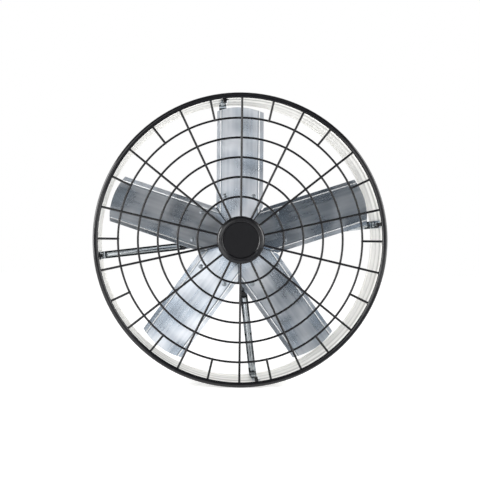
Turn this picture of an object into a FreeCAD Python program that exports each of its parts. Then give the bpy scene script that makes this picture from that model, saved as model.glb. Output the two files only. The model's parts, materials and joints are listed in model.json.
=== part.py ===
import FreeCAD, Part
import math
import os

# Industrial exhaust fan of the ring type, for a round opening in a wall.
# The fan axis is Y: the grille faces -Y, the motor is towards +Y, and Z is up.
# The origin is on the fan axis, in the plane where the rear of the front lip meets the wall.
# Lengths are millimetres and angles degrees, anticlockwise from +X as seen from the front.

# Hairline between two faces that touch, the same for two curved faces, and room in a screw hole
touch = 0.02
curved_touch = 0.06
hole_clearance = 0.1

# Casing sleeve
sleeve_inner_r = 262.0
sleeve_sheet = 1.2
sleeve_depth = 150.0
lip_width = 7.0
lip_bend_r = 2.0
bead_depth = 1.0
bead_half_width = 5.0
first_bead_y = 36.0
bead_pitch = 54.0
hem_length = 12.0
wall_screw_hole_r = 3.25
wall_screw_count = 4

# Grille wires
rim_wire_r = 5.0
spoke_wire_r = 2.1
ring_wire_r = 2.0
ring_count = 5
first_ring_r = 79.8
spoke_count = 14
spoke_inner_r = 22.0
short_spoke_overhang = 1.5
first_spoke_angle = 90.0

# Grille centre plate, cap and cap screws
plate_r = 40.0
plate_sheet = 2.0
cap_r = 44.0
cap_height = 10.0
cap_edge_height = 5.0
cap_edge_bulge = 1.6
cap_recess_r = 32.6
cap_recess_depth = 2.0
cap_pocket_r = 18.0
cap_floor = 2.5
cap_screw_count = 2
cap_screw_circle_r = 30.0
cap_screw_r = 1.5
cap_screw_head_r = 2.8
cap_screw_head = 2.0
cap_screw_depth = 5.0

# Motor struts, each with a foot along the sleeve wall
strut_count = 4
strut_angle = 7.0
strut_width = 14.0
strut_sheet = 2.0
strut_front_y = 108.0
strut_bend_r = 5.0
foot_front_y = 1.5
strut_bead_r = 4.2
strut_bead_rise = 2.4
strut_bead_wall = 1.7
strut_bead_screw_gap = 5.5
strut_bead_wall_gap = 9.0
strut_screw_circle_r = 104.0
strut_screw_r = 2.5
strut_screw_across_flats = 8.0
strut_screw_head = 3.5
foot_rivet_y = 80.0
foot_rivet_r = 2.4
foot_rivet_head_r = 4.0
foot_rivet_head = 1.6

# Grille lugs and their screws
lug_width = 6.4
lug_sheet = 1.5
lug_rear_y = 11.5
lug_toe = 4.0
lug_screw_y = 7.5
lug_screw_r = 2.0
lug_screw_head_r = 3.6
lug_screw_head = 2.6

# Blades
blade_count = 5
first_blade_angle = 90.0
blade_tip_gap = 12.0
blade_tip_drop = 9.3
blade_sheet = 1.2
blade_pitch = 15.0
blade_panel_half_width = 37.0
blade_camber = 1.0
blade_edge_strip = 9.0
blade_edge_bend = 7.0
fold_line_r = 2.0
fold_line_depth = 0.5
blade_root_z = 33.0
blade_root_gap = 1.2
blade_y = 60.0

# Blade rivets
rivet_z = 82.8
rivet_u = 28.2
rivet_r = 2.5
rivet_head_r = 4.5
rivet_head = 2.2
rivet_tail_r = 4.0
rivet_tail = 1.6

# Hub spider and what holds it on the shaft
hub_r = 30.0
hub_front_y = 42.0
hub_rear_y = 82.0
arm_sheet = 3.0
arm_root_z = 20.0
arm_root_half_width = 12.0
arm_pad_z = 64.0
arm_end_z = 97.0
arm_pad_half_width = 36.0
set_screw_r = 3.0
set_screw_length = 19.0
hub_washer_r = 14.0
hub_washer_sheet = 2.0
hub_nut_across_flats = 19.0
hub_nut_height = 9.0

# Motor shaft and ball bearings
shaft_r = 7.5
shaft_thread_r = 6.0
shaft_thread_end = 2.0
shaft_core_r = 9.0
shaft_end_gap = 0.5
bearing_outer_r = 17.5
bearing_width = 11.0
bearing_ball_count = 8
bearing_ball_r = 2.4
bearing_running_clearance = 0.03

# Motor stator and rotor
core_r = 70.0
core_bore_r = 36.5
core_length = 50.0
air_gap = 0.5
winding_bore_gap = 3.5
winding_rim_gap = 6.0
winding_overhang = 13.0
end_ring_width = 13.0
end_ring_inset = 1.0
end_ring_length = 8.0

# Motor end shields, with lengths counted from the end face of the stator core
shield_overlap = 4.0
shield_ledge = 4.0
shield_length = 28.0
shield_end_wall = 6.0
shield_spigot = 4.0
shield_corner = 6.0
boss_r = 24.0
boss_length = 34.0
boss_wall = 3.0
shaft_hole_r = 9.5
rib_count = 12
rib_width = 3.0
rib_height = 4.0
rib_end_gap = 7.0
shield_lug_r = 8.0
shield_lug_length = 32.0

# Ears of the front shield that the struts are screwed to
ear_width = 12.0

# Tie bolts through the shield lugs
tie_bolt_core_gap = 5.5
tie_bolt_r = 2.5
tie_bolt_across_flats = 8.0
tie_bolt_head = 3.5
tie_nut_height = 4.0
tie_bolt_thread_end = 2.0

# Terminal box on the stator
box_angle = 231.4
box_half_width = 30.0
box_length = 38.0
box_height = 30.0
box_floor = 4.0
box_wall = 2.5
box_post = 8.0
box_skirt = 9.0
box_screw_edge_distance = 12.0
box_screw_r = 2.0
box_screw_depth = 8.0
box_screw_head_r = 3.5
box_screw_head = 2.5
cover_sheet = 3.0
cover_screw_r = 1.5
cover_screw_depth = 8.0
cover_screw_head_r = 3.0
cover_screw_head = 1.8

# Cable gland, and the two parts inside the box
gland_height = 17.0
gland_bore_r = 4.0
gland_thread_r = 7.0
gland_thread = 5.5
gland_across_flats = 20.0
gland_hex = 5.0
gland_nut_r = 9.0
gland_nut = 11.0
capacitor_height = 20.0
block_height = 14.0
box_part_gap = 3.0
box_part_post_gap = 0.5
box_part_end_gap = 4.5

# Sizes that follow from the ones above
sleeve_outer_r = sleeve_inner_r + sleeve_sheet
sleeve_front_y = -sleeve_sheet
sleeve_rear_y = sleeve_front_y + sleeve_depth
sleeve_middle_y = sleeve_front_y + sleeve_depth / 2
lip_outer_r = sleeve_outer_r + lip_width
rim_center_r = sleeve_inner_r + rim_wire_r
spoke_y = sleeve_front_y - rim_wire_r - touch
spoke_outer_r = sleeve_inner_r - touch
spoke_step = 360 / spoke_count
ring_pitch = (sleeve_inner_r - first_ring_r) / ring_count
outer_ring_r = sleeve_inner_r - ring_pitch
plate_front_y = spoke_y + spoke_wire_r + touch
plate_rear_y = plate_front_y + plate_sheet
cap_front_y = spoke_y - cap_height
cap_rear_y = plate_front_y - touch
cap_recess_y = cap_front_y + cap_recess_depth
cap_screw_angle = first_spoke_angle + spoke_step / 2
strut_rear_y = strut_front_y + strut_sheet
foot_outer_x = math.sqrt((sleeve_inner_r - bead_depth) ** 2 - (strut_width / 2) ** 2) - touch
foot_inner_x = foot_outer_x - strut_sheet
lug_inner_x = foot_inner_x - touch - lug_sheet
blade_tip_r = sleeve_inner_r - blade_tip_gap
blade_arc_r = (blade_panel_half_width ** 2 + blade_camber ** 2) / (2 * blade_camber)
blade_front_r = blade_arc_r - blade_sheet / 2
blade_rear_r = blade_arc_r + blade_sheet / 2
arm_front_r = blade_rear_r + touch
arm_rear_r = arm_front_r + arm_sheet
rotor_r = core_bore_r - air_gap
end_ring_outer_r = rotor_r - end_ring_inset
end_ring_inner_r = end_ring_outer_r - end_ring_width
winding_inner_r = core_bore_r + winding_bore_gap
winding_outer_r = core_r - winding_rim_gap
shield_r = core_r + shield_overlap
shield_inner_r = core_r - shield_ledge
rib_outer_r = shield_r - rib_end_gap
tie_bolt_circle_r = core_r + tie_bolt_core_gap + tie_bolt_r
ear_front_y = strut_rear_y + touch
ear_rear_y = ear_front_y + shield_lug_length - shield_length + shield_end_wall
core_front_y = ear_front_y + shield_lug_length
core_rear_y = core_front_y + core_length
core_middle_y = core_front_y + core_length / 2
bearing_distance = boss_length - boss_wall
box_front_y = core_middle_y - box_length / 2
box_rear_y = core_middle_y + box_length / 2
box_floor_x = core_r + box_floor
box_top_x = core_r + box_height
box_screw_z = box_half_width - box_screw_edge_distance
box_part_x = box_floor_x + box_screw_head + touch
box_part_outer_z = box_half_width - box_wall - box_post - box_part_post_gap
box_part_front_y = box_front_y + box_wall + box_part_end_gap
box_part_rear_y = box_rear_y - box_wall - box_part_end_gap
gland_x = core_r + gland_height
cover_top_x = box_top_x + touch + cover_sheet

ORIGIN = FreeCAD.Vector(0, 0, 0)
X_AXIS = FreeCAD.Vector(1, 0, 0)
Y_AXIS = FreeCAD.Vector(0, 1, 0)
Z_AXIS = FreeCAD.Vector(0, 0, 1)


def point(x, y, z=0.0):
    return FreeCAD.Vector(x, y, z)


def block(corner, opposite):
    """Box between two opposite corners."""
    low = point(*map(min, zip(corner, opposite)))
    high = point(*map(max, zip(corner, opposite)))
    size = high - low
    return Part.makeBox(size.x, size.y, size.z, low)


def rod(radius, start, end):
    """Round bar between two points."""
    along = end - start
    return Part.makeCylinder(radius, along.Length, start, along)


def disc(radius, start_y, end_y, bore_r=0.0):
    """Round plate on the fan axis, with a hole if a bore is given."""
    solid = rod(radius, point(0, start_y), point(0, end_y))
    if bore_r > 0:
        solid = solid.cut(rod(bore_r, point(0, start_y), point(0, end_y)))
    return solid


def outline(*corners):
    """Flat face inside straight edges."""
    return Part.Face(Part.makePolygon(list(corners) + [corners[0]]))


def hexagon(across_flats, start, end):
    """Six-sided bar along the fan axis between two points."""
    corner_r = across_flats / math.sqrt(3)
    corners = []
    for index in range(6):
        angle = math.radians(60 * index)
        corners.append(start + point(corner_r * math.cos(angle), 0, corner_r * math.sin(angle)))
    return outline(*corners).extrude(end - start)


def arc(start, middle, end):
    """Curved edge through three points."""
    return Part.Arc(start, middle, end).toShape()


def spun(*corners):
    """Solid of revolution about the fan axis, from (radius, y) corners."""
    return outline(*[point(r, y) for r, y in corners]).revolve(ORIGIN, Y_AXIS, 360)


def turned(shape, angle):
    """Copy turned about the fan axis."""
    copy = shape.copy()
    copy.rotate(ORIGIN, Y_AXIS, -angle)
    return copy


def turned_set(shape, count, first_angle):
    """Equally spaced copies about the fan axis."""
    return [turned(shape, first_angle + index * 360 / count) for index in range(count)]


def one_solid(shape):
    """The single solid inside the result of a cut or a join."""
    return shape.removeSplitter().Solids[0]


def group(solids):
    """Separate solids kept together as one node."""
    return Part.makeCompound(solids)


def bead_ring(radius, y):
    """Ring with the section of a rolled bead, rising inwards from a wall of this radius."""
    start = point(radius, y - bead_half_width)
    crest = point(radius - bead_depth, y)
    end = point(radius, y + bead_half_width)
    section = Part.Wire([arc(start, crest, end), Part.makeLine(end, start)])
    return Part.Face(section).revolve(ORIGIN, Y_AXIS, 360)


def sleeve_section():
    """Section of the sleeve: front lip, straight wall and the fold at the rear edge."""
    fold_inner_r = sleeve_inner_r - sleeve_sheet
    bend_start = point(sleeve_inner_r, sleeve_front_y + lip_bend_r)
    bend_end = point(sleeve_inner_r + lip_bend_r, sleeve_front_y)
    bend_middle = point(bend_end.x, bend_start.y) - point(1, 1).normalize() * lip_bend_r
    edges = Part.makePolygon([
        bend_end,
        point(lip_outer_r, sleeve_front_y),
        point(lip_outer_r, 0),
        point(sleeve_outer_r, 0),
        point(sleeve_outer_r, sleeve_rear_y),
        point(fold_inner_r, sleeve_rear_y),
        point(fold_inner_r, sleeve_rear_y - hem_length),
        point(sleeve_inner_r, sleeve_rear_y - hem_length),
        bend_start,
    ]).Edges
    return Part.Face(Part.Wire(edges + [arc(bend_start, bend_middle, bend_end)]))


def casing_sleeve():
    """Rolled sheet duct with an outward front lip, two inward beads and a folded rear edge."""
    sleeve = sleeve_section().revolve(ORIGIN, Y_AXIS, 360)
    for y in (first_bead_y, first_bead_y + bead_pitch):
        sleeve = sleeve.cut(bead_ring(sleeve_outer_r, y)).fuse(bead_ring(sleeve_inner_r, y))
    drills = turned_set(lug_screw_drill(), strut_count, strut_angle)
    drills += turned_set(foot_rivet_drill(), strut_count, strut_angle)
    drills += turned_set(wall_screw_drill(), wall_screw_count, strut_angle + 180 / wall_screw_count)
    return one_solid(sleeve.cut(drills))


def radial_drill(radius, y):
    """Cutter for a hole through the sleeve wall and what lies against it, along +X."""
    return rod(radius, point(lug_inner_x - lug_sheet, y), point(sleeve_outer_r + lug_sheet, y))


def lug_screw_drill():
    return radial_drill(lug_screw_r + hole_clearance, lug_screw_y)


def foot_rivet_drill():
    return radial_drill(foot_rivet_r + hole_clearance, foot_rivet_y)


def wall_screw_drill():
    return radial_drill(wall_screw_hole_r, sleeve_middle_y)


def grille_rim():
    return Part.makeTorus(rim_center_r, rim_wire_r, point(0, spoke_y), Y_AXIS)


def grille_ring(radius):
    """Wire ring welded to the rear of the spokes."""
    ring_y = spoke_y + spoke_wire_r + touch + ring_wire_r
    return Part.makeTorus(radius, ring_wire_r, point(0, ring_y), Y_AXIS)


def spoke(start_r):
    """Straight wire along +X that ends at the rim."""
    return rod(spoke_wire_r, point(start_r, spoke_y), point(spoke_outer_r, spoke_y))


def cap_screw_drill(radius):
    return rod(
        radius,
        point(cap_screw_circle_r, plate_front_y - cap_screw_depth),
        point(cap_screw_circle_r, plate_rear_y),
    )


def grille_plate():
    """Disc behind the spokes that they are welded to."""
    plate = disc(plate_r, plate_front_y, plate_rear_y)
    drill = cap_screw_drill(cap_screw_r + hole_clearance)
    return one_solid(plate.cut(turned_set(drill, cap_screw_count, cap_screw_angle)))


def cap_slot():
    """Cutter for the slot that one spoke leaves the cap through, along +X."""
    half_width = spoke_wire_r + hole_clearance
    start = point(spoke_inner_r - hole_clearance, spoke_y)
    end = point(cap_r + half_width, spoke_y)
    open_corner = point(end.x, cap_rear_y + half_width, half_width)
    return rod(half_width, start, end).fuse(block(start - Z_AXIS * half_width, open_corner))


def grille_cap():
    """Moulded cap over the spoke ends, with a raised round edge about a flat middle."""
    lower_edge = point(cap_r, spoke_y - cap_edge_height)
    crest = point(cap_recess_r + cap_recess_depth, cap_front_y)
    chord = lower_edge - crest
    outward = point(chord.y, -chord.x).normalize() * cap_edge_bulge
    edges = Part.makePolygon([
        crest,
        point(cap_recess_r, cap_recess_y),
        point(0, cap_recess_y),
        point(0, cap_recess_y + cap_floor),
        point(cap_pocket_r, cap_recess_y + cap_floor),
        point(cap_pocket_r, cap_rear_y),
        point(cap_r, cap_rear_y),
        lower_edge,
    ]).Edges
    edges.append(arc(lower_edge, crest + chord / 2 + outward, crest))
    cap = Part.Face(Part.Wire(edges)).revolve(ORIGIN, Y_AXIS, 360)
    cap = cap.cut(turned_set(cap_slot(), spoke_count, first_spoke_angle))
    drills = turned_set(cap_screw_drill(cap_screw_r + touch), cap_screw_count, cap_screw_angle)
    return one_solid(cap.cut(drills))


def cap_screw():
    shank_tip = point(cap_screw_circle_r, plate_front_y - cap_screw_depth + touch)
    seat = point(cap_screw_circle_r, plate_rear_y + touch)
    head = rod(cap_screw_head_r, seat, seat + Y_AXIS * cap_screw_head)
    return one_solid(rod(cap_screw_r, shank_tip, seat).fuse(head))


def grille_lug():
    """Strap welded to the inside of the rim that lies on a strut foot."""
    half_width = lug_width / 2
    front_y = spoke_y - lug_toe / 2
    strap = block(
        point(lug_inner_x, front_y, -half_width),
        point(lug_inner_x + lug_sheet, lug_rear_y, half_width),
    )
    toe_x = math.sqrt(sleeve_inner_r ** 2 - half_width ** 2) - touch
    toe = block(point(lug_inner_x, front_y, -half_width), point(toe_x, front_y + lug_toe, half_width))
    return one_solid(strap.fuse(toe).cut(lug_screw_drill()))


def lug_screw():
    """Tapping screw from inside, through lug and foot into the sleeve, ending flush outside."""
    seat = point(lug_inner_x - touch, lug_screw_y)
    head = rod(lug_screw_head_r, seat - X_AXIS * lug_screw_head, seat)
    shank = rod(lug_screw_r, seat, point(sleeve_outer_r - curved_touch, lug_screw_y))
    return one_solid(head.fuse(shank))


def foot_rivet():
    seat = point(foot_inner_x - touch, foot_rivet_y)
    head = rod(foot_rivet_head_r, seat - X_AXIS * foot_rivet_head, seat)
    shank = rod(foot_rivet_r, seat, point(sleeve_outer_r - curved_touch, foot_rivet_y))
    return one_solid(head.fuse(shank))


def strut_bead(radius):
    """Round-ended bar from which the pressed bead of a strut is cut, along +X."""
    y = strut_front_y + strut_bead_r - strut_bead_rise
    start = point(strut_screw_circle_r + strut_bead_screw_gap + strut_bead_r, y)
    end = point(sleeve_inner_r - strut_bead_wall_gap - strut_bead_r, y)
    bar = rod(radius, start, end)
    return bar.fuse([Part.makeSphere(radius, start), Part.makeSphere(radius, end)])


def strut_profile():
    """Side view of the bent strip: along the radius, then forward along the sleeve wall."""
    outer_bend_r = strut_bend_r + strut_sheet
    bend_x = foot_outer_x - outer_bend_r
    bend_y = strut_rear_y - outer_bend_r
    bend_center = point(bend_x, bend_y)
    diagonal = point(1, 1).normalize()
    inner_arc = arc(
        point(bend_x, strut_front_y), bend_center + diagonal * strut_bend_r, point(foot_inner_x, bend_y)
    )
    foot = Part.makePolygon([
        point(foot_inner_x, bend_y),
        point(foot_inner_x, foot_front_y),
        point(foot_outer_x, foot_front_y),
        point(foot_outer_x, bend_y),
    ]).Edges
    outer_arc = arc(
        point(foot_outer_x, bend_y), bend_center + diagonal * outer_bend_r, point(bend_x, strut_rear_y)
    )
    arm = Part.makePolygon([
        point(bend_x, strut_rear_y),
        point(strut_screw_circle_r, strut_rear_y),
        point(strut_screw_circle_r, strut_front_y),
        point(bend_x, strut_front_y),
    ]).Edges
    return Part.Face(Part.Wire([inner_arc] + foot + [outer_arc] + arm))


def motor_strut():
    """Bent strip along +X with a pressed bead, a rounded inner end and its holes."""
    profile = strut_profile()
    profile.translate(Z_AXIS * (-strut_width / 2))
    strip = profile.extrude(Z_AXIS * strut_width)
    end_front = point(strut_screw_circle_r, strut_front_y)
    end_rear = point(strut_screw_circle_r, strut_rear_y)
    strip = strip.fuse(rod(strut_width / 2, end_front, end_rear))
    front_side = block(
        point(0, strut_front_y - strut_bead_r, -strut_width / 2),
        point(sleeve_inner_r, strut_front_y + touch, strut_width / 2),
    )
    strip = strip.fuse(strut_bead(strut_bead_r).common(front_side))
    strip = strip.cut(strut_bead(strut_bead_r - strut_bead_wall))
    strip = strip.cut(rod(strut_screw_r + hole_clearance, end_front, end_rear))
    return one_solid(strip.cut([lug_screw_drill(), foot_rivet_drill()]))


def strut_screw():
    """Hexagon screw through the inner end of a strut into the ear of the motor."""
    seat = point(strut_screw_circle_r, strut_front_y - touch)
    head = hexagon(strut_screw_across_flats, seat - Y_AXIS * strut_screw_head, seat)
    shank = rod(strut_screw_r, seat, point(strut_screw_circle_r, ear_rear_y - touch))
    return one_solid(head.fuse(shank))


def arc_point(radius, angle):
    """Point on a circle about the centre of the blade's curve, in the plane of its section."""
    turn = math.radians(angle)
    return point(radius * math.sin(turn), radius * math.cos(turn) - blade_arc_r)


def arc_angle(half_width):
    """Angle about the centre of the blade's curve that reaches this far from its middle."""
    return math.degrees(math.asin(half_width / blade_arc_r))


def curved_sheet(front_r, rear_r, half_width, length):
    """Upright sheet, curved about the centre of the blade's curve."""
    angle = arc_angle(half_width)
    front = arc(arc_point(front_r, -angle), arc_point(front_r, 0), arc_point(front_r, angle))
    rear = arc(arc_point(rear_r, angle), arc_point(rear_r, 0), arc_point(rear_r, -angle))
    right = Part.makeLine(arc_point(front_r, angle), arc_point(rear_r, angle))
    left = Part.makeLine(arc_point(rear_r, -angle), arc_point(front_r, -angle))
    return Part.Face(Part.Wire([front, right, rear, left])).extrude(Z_AXIS * length)


def blade_strip(side):
    """Straight strip along one long edge of the blade, bent forward from the curved panel."""
    angle = arc_angle(blade_panel_half_width)
    slope = math.radians(angle + blade_edge_bend)
    across = point(side * math.cos(slope), -math.sin(slope)) * blade_edge_strip
    front = arc_point(blade_front_r, side * angle)
    rear = arc_point(blade_rear_r, side * angle)
    return outline(front, front + across, rear + across, rear).extrude(Z_AXIS * blade_tip_r)


def fold_line(side):
    """Round bar that presses a shallow line along the fold of one edge strip."""
    angle = side * arc_angle(blade_panel_half_width)
    center = arc_point(blade_front_r - fold_line_r + fold_line_depth, angle)
    return rod(fold_line_r, center, center + Z_AXIS * blade_tip_r)


def plan_cutter(*corners):
    """Tall block with an outline in the plane of the blade, to trim a sheet with."""
    face = outline(*[point(u, -blade_tip_r, z) for u, z in corners])
    return face.extrude(Y_AXIS * 2 * blade_tip_r)


def root_half_width(z):
    """Half the blade's width at its root, where it stops short of the line between blades."""
    seen = z * math.tan(math.pi / blade_count) - blade_root_gap
    return seen / math.cos(math.radians(blade_pitch))


def at_pitch(shape):
    """Turn a flat-lying blade piece to its pitch and bring it to its place on the axis."""
    copy = shape.copy()
    copy.rotate(ORIGIN, Z_AXIS, blade_pitch)
    copy.translate(Y_AXIS * blade_y)
    return copy


def on_curve(shape, side):
    """Copy swung about the blade's curve from its middle to the rivet on one side."""
    copy = shape.copy()
    copy.rotate(point(0, -blade_arc_r), Z_AXIS, -side * arc_angle(rivet_u))
    return copy


def rivet_drill():
    start = point(0, blade_front_r - blade_arc_r - rivet_head, rivet_z)
    end = point(0, arm_rear_r - blade_arc_r + rivet_tail, rivet_z)
    return rod(rivet_r + hole_clearance, start, end)


def rivet():
    """Domed rivet at the middle of the blade's curve."""
    front = point(0, blade_front_r - blade_arc_r - curved_touch, rivet_z)
    rear = point(0, arm_rear_r - blade_arc_r + curved_touch, rivet_z)
    dome_r = (rivet_head_r ** 2 + rivet_head ** 2) / (2 * rivet_head)
    ball = Part.makeSphere(dome_r, front + Y_AXIS * (dome_r - rivet_head))
    dome = ball.common(rod(rivet_head_r, front - Y_AXIS * rivet_head, front))
    tail = rod(rivet_tail_r, rear, rear + Y_AXIS * rivet_tail)
    return one_solid(dome.fuse([rod(rivet_r, front, rear), tail]))


def blade():
    """Pressed sheet blade that points up, in the place of a blade at 90 degrees."""
    sheet = curved_sheet(blade_front_r, blade_rear_r, blade_panel_half_width, blade_tip_r)
    sheet = sheet.fuse([blade_strip(-1), blade_strip(1)]).cut([fold_line(-1), fold_line(1)])
    half_width = blade_panel_half_width + blade_edge_strip
    shoulder_z = half_width / math.tan(math.pi / blade_count) + blade_root_z / 2
    root_plan = plan_cutter(
        (-root_half_width(blade_root_z), blade_root_z),
        (root_half_width(blade_root_z), blade_root_z),
        (root_half_width(shoulder_z), shoulder_z),
        (root_half_width(shoulder_z), blade_tip_r),
        (-root_half_width(shoulder_z), blade_tip_r),
        (-root_half_width(shoulder_z), shoulder_z),
    )
    tip_arc_r = (half_width ** 2 + blade_tip_drop ** 2) / (2 * blade_tip_drop)
    tip_plan = rod(
        tip_arc_r,
        point(0, -blade_tip_r, blade_tip_r - tip_arc_r),
        point(0, blade_tip_r, blade_tip_r - tip_arc_r),
    )
    upper_plan = plan_cutter(
        (-blade_tip_r, blade_root_z),
        (blade_tip_r, blade_root_z),
        (blade_tip_r, blade_tip_r - tip_arc_r),
        (-blade_tip_r, blade_tip_r - tip_arc_r),
    )
    sheet = sheet.common(root_plan).common(tip_plan.fuse(upper_plan))
    sheet = sheet.cut([on_curve(rivet_drill(), side) for side in (-1, 1)])
    return at_pitch(one_solid(sheet))


def blade_rivets():
    """The two rivets of every blade."""
    pair = [at_pitch(on_curve(rivet(), side)) for side in (-1, 1)]
    solids = []
    for one in pair:
        solids += turned_set(one, blade_count, first_blade_angle - 90)
    return group(solids)


def spider_arm():
    """Arm with a pad behind one blade, pointing up."""
    arm = curved_sheet(arm_front_r, arm_rear_r, arm_pad_half_width, arm_end_z)
    plan = plan_cutter(
        (-arm_root_half_width, arm_root_z),
        (arm_root_half_width, arm_root_z),
        (arm_pad_half_width, arm_pad_z),
        (arm_pad_half_width, arm_end_z),
        (-arm_pad_half_width, arm_end_z),
        (-arm_pad_half_width, arm_pad_z),
    )
    arm = arm.common(plan).cut([on_curve(rivet_drill(), side) for side in (-1, 1)])
    return at_pitch(one_solid(arm))


def set_screw(length, radius):
    """Screw across the hub between two arms, from the shaft outwards along +Z."""
    y = (hub_front_y + hub_rear_y) / 2
    return rod(radius, point(0, y, shaft_r + curved_touch), point(0, y, shaft_r + curved_touch + length))


def hub_spider():
    """Hub with an arm for each blade, in one piece."""
    hub = disc(hub_r, hub_front_y, hub_rear_y)
    hub = hub.fuse(turned_set(spider_arm(), blade_count, first_blade_angle - 90))
    hub = hub.cut(disc(shaft_r + touch, hub_front_y, hub_rear_y))
    screw_hole = turned(set_screw(hub_r, set_screw_r + touch), first_blade_angle - 90 + 180 / blade_count)
    return one_solid(hub.cut(screw_hole))


def hub_set_screw():
    return turned(set_screw(set_screw_length, set_screw_r), first_blade_angle - 90 + 180 / blade_count)


def hub_washer():
    rear_y = hub_front_y - touch
    return disc(hub_washer_r, rear_y - hub_washer_sheet, rear_y, shaft_thread_r + hole_clearance)


def hub_nut():
    rear_y = hub_front_y - 2 * touch - hub_washer_sheet
    nut = hexagon(hub_nut_across_flats, point(0, rear_y - hub_nut_height), point(0, rear_y))
    return one_solid(nut.cut(disc(shaft_thread_r + touch, rear_y - hub_nut_height, rear_y)))


def motor_shaft():
    """Stepped shaft: thread for the hub nut, bearing seats and a thicker middle."""
    thread_front_y = hub_front_y - hub_washer_sheet - hub_nut_height - shaft_thread_end
    front_step_y = core_front_y - bearing_distance + bearing_width + hole_clearance
    rear_step_y = core_rear_y + bearing_distance - bearing_width - hole_clearance
    end_y = core_rear_y + bearing_distance - shaft_end_gap
    return spun(
        (0, thread_front_y),
        (shaft_thread_r, thread_front_y),
        (shaft_thread_r, hub_front_y),
        (shaft_r, hub_front_y),
        (shaft_r, front_step_y),
        (shaft_core_r, front_step_y),
        (shaft_core_r, rear_step_y),
        (shaft_r, rear_step_y),
        (shaft_r, end_y),
        (0, end_y),
    )


def ball_bearing(start_y):
    """Outer ring, inner ring and balls of a bearing that starts at this place on the axis."""
    end_y = start_y + bearing_width
    ball_circle_r = (shaft_r + bearing_outer_r) / 2
    track = bearing_ball_r + touch
    outer_ring = disc(bearing_outer_r, start_y, end_y, ball_circle_r + track)
    inner_ring = disc(ball_circle_r - track, start_y, end_y, shaft_r + bearing_running_clearance)
    ball = Part.makeSphere(bearing_ball_r, point(ball_circle_r, (start_y + end_y) / 2))
    return group([outer_ring, inner_ring] + turned_set(ball, bearing_ball_count, 0))


def end_shield(face_y, outward, hole_r):
    """Cast motor end: a cup on the stator core with a bearing boss, ribs and bolt lugs."""
    def away(distance):
        return face_y + outward * distance

    seat_r = bearing_outer_r + touch
    inner_wall = shield_length - shield_end_wall
    seat_mouth = bearing_distance - bearing_width
    shield = spun(
        (core_r + touch, away(touch)),
        (core_r + touch, away(-shield_spigot)),
        (shield_r, away(-shield_spigot)),
        (shield_r, away(shield_length - shield_corner)),
        (shield_r - shield_corner, away(shield_length)),
        (boss_r, away(shield_length)),
        (boss_r, away(boss_length)),
        (hole_r, away(boss_length)),
        (hole_r, away(bearing_distance + touch)),
        (seat_r, away(bearing_distance + touch)),
        (seat_r, away(seat_mouth)),
        (boss_r, away(seat_mouth)),
        (boss_r, away(inner_wall)),
        (shield_inner_r - shield_corner, away(inner_wall)),
        (shield_inner_r, away(inner_wall - shield_corner)),
        (shield_inner_r, away(touch)),
    )
    rib = block(
        point(boss_r - rib_width, away(inner_wall), -rib_width / 2),
        point(rib_outer_r, away(shield_length + rib_height), rib_width / 2),
    )
    lug_start = point(tie_bolt_circle_r, away(-shield_spigot))
    lug_end = point(tie_bolt_circle_r, away(shield_lug_length))
    lug = rod(shield_lug_r, lug_start, lug_end)
    clear_inside = disc(core_r + touch, away(-shield_spigot), away(touch))
    drill = rod(tie_bolt_r + hole_clearance, lug_start, lug_end)
    shield = shield.fuse(turned_set(rib, rib_count, strut_angle))
    shield = shield.fuse(turned_set(lug, strut_count, strut_angle)).cut(clear_inside)
    return one_solid(shield.cut(turned_set(drill, strut_count, strut_angle)))


def front_shield():
    """Motor end on the side of the blades, with an ear for every strut."""
    end_front = point(strut_screw_circle_r, ear_front_y)
    end_rear = point(strut_screw_circle_r, ear_rear_y)
    reach = Z_AXIS * (ear_width / 2)
    ear = block(point(boss_r, ear_front_y) - reach, end_rear + reach)
    ear = ear.fuse(rod(ear_width / 2, end_front, end_rear))
    drill = rod(strut_screw_r + touch, end_front, end_rear)
    shield = end_shield(core_front_y, -1, shaft_hole_r)
    shield = shield.fuse(turned_set(ear, strut_count, strut_angle))
    bolt_front = point(tie_bolt_circle_r, ear_front_y)
    bolt_hole = rod(tie_bolt_r + hole_clearance, bolt_front, bolt_front + Y_AXIS * shield_lug_length)
    drills = turned_set(drill, strut_count, strut_angle) + turned_set(bolt_hole, strut_count, strut_angle)
    return one_solid(shield.cut(drills))


def stator_core():
    """Laminated stator ring, with the holes of the terminal box screws."""
    core = disc(core_r, core_front_y, core_rear_y, core_bore_r)
    drills = [turned(box_screw_drill(side), box_angle) for side in (-1, 1)]
    return one_solid(core.cut(drills))


def stator_windings():
    """Plain end turns of the winding at both ends of the core."""
    front_y = core_front_y - touch
    rear_y = core_rear_y + touch
    front = disc(winding_outer_r, front_y - winding_overhang, front_y, winding_inner_r)
    rear = disc(winding_outer_r, rear_y, rear_y + winding_overhang, winding_inner_r)
    return group([front, rear])


def rotor_core():
    """Squirrel-cage rotor: laminated body with an end ring at each side."""
    body = disc(rotor_r, core_front_y, core_rear_y)
    rings = disc(end_ring_outer_r, core_front_y - end_ring_length, core_rear_y + end_ring_length)
    hollow = disc(end_ring_inner_r, core_front_y - end_ring_length, core_rear_y + end_ring_length)
    bore = disc(shaft_core_r + touch, core_front_y, core_rear_y)
    return one_solid(body.cut(bore).fuse(rings.cut(hollow)))


def tie_bolt():
    """Long bolt with its head on the rear lug and its thread in front of the front lug."""
    seat = point(tie_bolt_circle_r, core_rear_y + shield_lug_length + touch)
    thread_end = ear_front_y - tie_nut_height - tie_bolt_thread_end
    shank = rod(tie_bolt_r, point(tie_bolt_circle_r, thread_end), seat)
    head = hexagon(tie_bolt_across_flats, seat, seat + Y_AXIS * tie_bolt_head)
    return one_solid(shank.fuse(head))


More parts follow.
